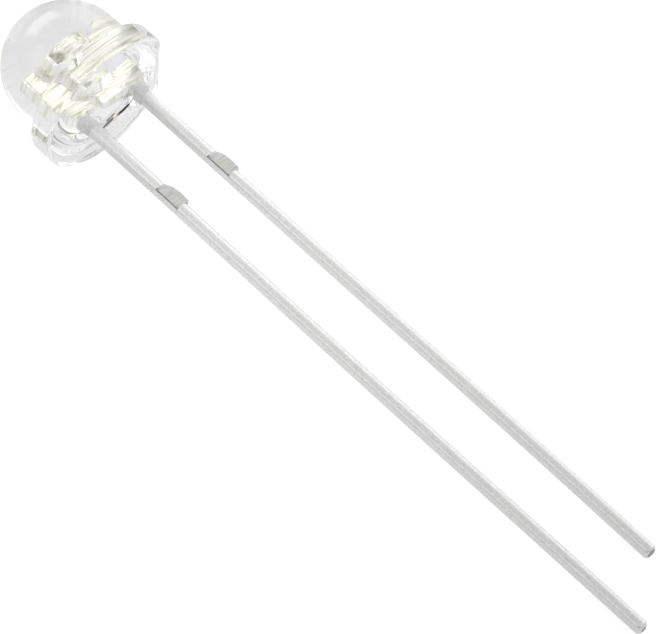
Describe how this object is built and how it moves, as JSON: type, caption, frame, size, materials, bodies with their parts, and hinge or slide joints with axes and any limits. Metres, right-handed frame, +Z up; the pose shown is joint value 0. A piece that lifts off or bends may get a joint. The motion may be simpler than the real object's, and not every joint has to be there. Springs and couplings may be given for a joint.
{
  "type": "through hole led",
  "caption": "Clear low-dome light emitting diode with a wide flange, long square through hole leads, tie bar stubs and a yellow phosphor cup inside.",
  "frame": {"origin": "on the table under the middle of the lamp's bounding box, with the lamp lying on the rim of its flange and on the tips of both leads", "axes": "+Z up, +X along the leads from the dome to the lead tips, +Y from the anode lead to the cathode lead"},
  "size_m": [0.0324, 0.0056, 0.0059],
  "materials": {
    "clear_epoxy": "water clear moulded resin, gloss",
    "tinned_lead": "tin plated, satin with a fine grain",
    "chip": "polished sapphire with a metallised top",
    "die_adhesive": "cured adhesive",
    "phosphor": "yellow phosphor in resin, matte",
    "gold_wire": "drawn gold wire, bright"
  },
  "bodies": {
    "root": {"epoxy_lens": "clear_epoxy", "cathode_lead": "tinned_lead", "anode_lead": "tinned_lead", "led_die": "chip", "die_attach": "die_adhesive", "phosphor_fill": "phosphor", "bond_wire_anode": "gold_wire", "bond_wire_cathode": "gold_wire"}
  },
  "joints": []
}
